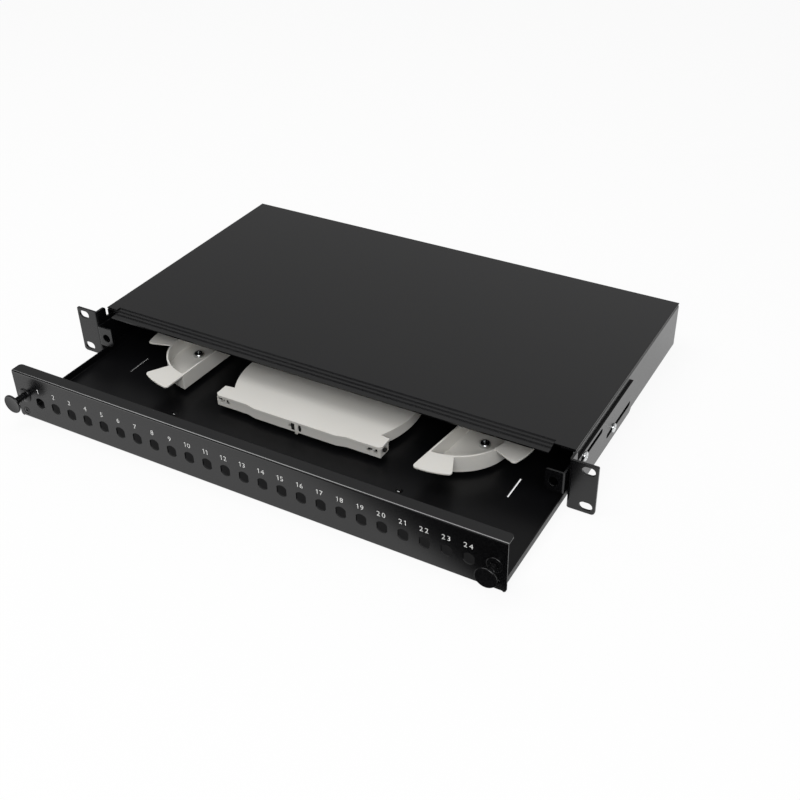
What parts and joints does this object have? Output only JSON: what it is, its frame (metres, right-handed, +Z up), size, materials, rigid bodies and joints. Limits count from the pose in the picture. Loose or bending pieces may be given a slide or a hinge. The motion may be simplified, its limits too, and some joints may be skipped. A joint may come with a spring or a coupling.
{
  "type": "fibre optic patch panel",
  "caption": "Low, wide rack panel for fibre optic cables: a plate with a row of ports and a tray slide from a flat case with ears, and carry spools and a splice cassette.",
  "frame": {"origin": "centre of the four rack slots, in the plane of the ears' front faces", "axes": "+X to the right seen from the front, +Y from the front to the back, +Z up; the case lies flat on its underside"},
  "size_m": [0.4826, 0.3658, 0.0437],
  "materials": {
    "powder_coat": "fine-textured black powder coat",
    "zinc": "bright zinc plating",
    "black_nylon": "smooth black nylon",
    "grey_abs": "satin light grey ABS"
  },
  "bodies": {
    "case": {"case_body": "powder_coat", "top_cover": "powder_coat", "rack_bracket_right": "powder_coat", "rack_bracket_left": "powder_coat", "bracket_screws_right": "zinc", "bracket_screws_left": "zinc", "clinch_nuts_right": "zinc", "clinch_nuts_left": "zinc", "catch_plate_right": "powder_coat", "catch_plate_left": "powder_coat"},
    "drawer": {"drawer_tray": "powder_coat", "front_plate": "powder_coat", "plate_screws": "powder_coat", "latch_grommet_right": "black_nylon", "latch_grommet_left": "black_nylon", "spool_post_right": "zinc", "spool_post_left": "zinc", "spool_screw_right": "zinc", "spool_screw_left": "zinc", "cassette_posts": "zinc", "cassette_base": "grey_abs", "splice_holder": "grey_abs", "cassette_cover": "grey_abs"},
    "latch_right": {"latch_plunger_right": "black_nylon"},
    "latch_left": {"latch_plunger_left": "black_nylon"},
    "spool_right": {"fibre_spool_right": "grey_abs"},
    "spool_left": {"fibre_spool_left": "grey_abs"}
  },
  "joints": [
    {"name": "drawer_slide", "type": "slide", "parent": "case", "child": "drawer", "axis": [0, -1, 0], "range_m": [-0.0954, 0.1]},
    {"name": "latch_right_push", "type": "slide", "parent": "drawer", "child": "latch_right", "axis": [0, 1, 0], "range_m": [0, 0.01]},
    {"name": "latch_left_push", "type": "slide", "parent": "drawer", "child": "latch_left", "axis": [0, 1, 0], "range_m": [0, 0.01]},
    {"name": "spool_right_turn", "type": "hinge", "parent": "drawer", "child": "spool_right", "pos_m": [0.14, 0.029, -0.01533], "axis": [0, 0, 1], "range_deg": [-20, 20]},
    {"name": "spool_left_turn", "type": "hinge", "parent": "drawer", "child": "spool_left", "pos_m": [-0.1355, 0.029, -0.01533], "axis": [0, 0, 1], "range_deg": [-20, 20]}
  ]
}
